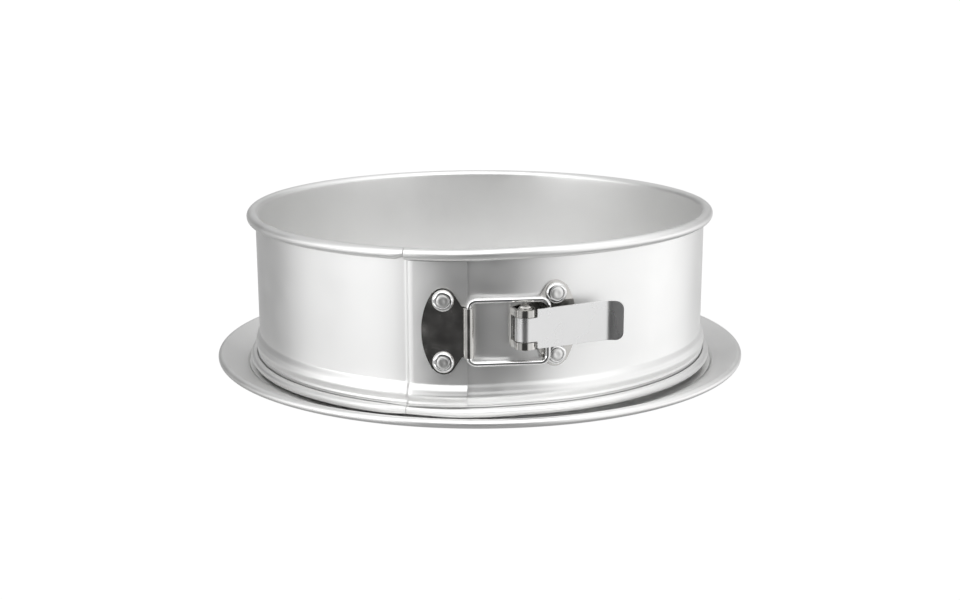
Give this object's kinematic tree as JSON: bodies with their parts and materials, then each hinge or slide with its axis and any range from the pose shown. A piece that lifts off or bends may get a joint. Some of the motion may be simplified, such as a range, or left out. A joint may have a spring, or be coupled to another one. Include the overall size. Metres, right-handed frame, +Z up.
{
  "type": "springform pan",
  "caption": "Round springform cake pan with a wide rimmed base plate, a band that opens at a front lap, and a wire-bail draw latch.",
  "frame": {"origin": "centre of the base plate, on the surface the pan stands on", "axes": "+Z up along the pan's axis; -Y towards the front, where the latch is; +X towards the lever's tip"},
  "size_m": [0.273, 0.273, 0.0808],
  "materials": {
    "anodised_aluminium": "satin anodised",
    "nickel_plate": "polished nickel plate on steel",
    "stainless_strip": "fine brushed",
    "chrome_wire": "polished",
    "chrome_washer": "polished",
    "rivet_aluminium": "matte"
  },
  "bodies": {
    "base": {"base_plate": "anodised_aluminium"},
    "ring_right": {"band_inner_lap": "anodised_aluminium", "latch_bracket": "nickel_plate", "pivot_pin": "nickel_plate", "bracket_rivet_upper": "rivet_aluminium", "bracket_rivet_lower": "rivet_aluminium", "bracket_washer_upper": "chrome_washer", "bracket_washer_lower": "chrome_washer"},
    "ring_left": {"band_outer_lap": "anodised_aluminium", "strike_plate": "nickel_plate", "strike_rivet_upper": "rivet_aluminium", "strike_rivet_lower": "rivet_aluminium", "strike_washer_upper": "chrome_washer", "strike_washer_lower": "chrome_washer"},
    "lever": {"latch_lever": "stainless_strip"},
    "bail": {"bail": "chrome_wire"}
  },
  "joints": [
    {"name": "ring_lift", "type": "slide", "parent": "base", "child": "ring_right", "axis": [0, 0, 1], "range_m": [0, 0.09]},
    {"name": "lever_pivot", "type": "hinge", "parent": "ring_right", "child": "lever", "pos_m": [0.01995, -0.11985, 0.0445], "axis": [0, 0, -1], "range_deg": [0, 120]},
    {"name": "band_spread", "type": "hinge", "parent": "ring_right", "child": "ring_left", "pos_m": [0, 0.12, 0.0421], "axis": [0, 0, -1], "range_deg": [0, 2.1]},
    {"name": "bail_swing", "type": "hinge", "parent": "ring_left", "child": "bail", "pos_m": [-0.00487, -0.11875, 0.0421], "axis": [0, 0, -1], "range_deg": [0, 23]}
  ],
  "couplings": [
    {"joint": "band_spread", "follows": "lever_pivot", "ratio": 0.0174},
    {"joint": "bail_swing", "follows": "lever_pivot", "ratio": 0.19}
  ]
}
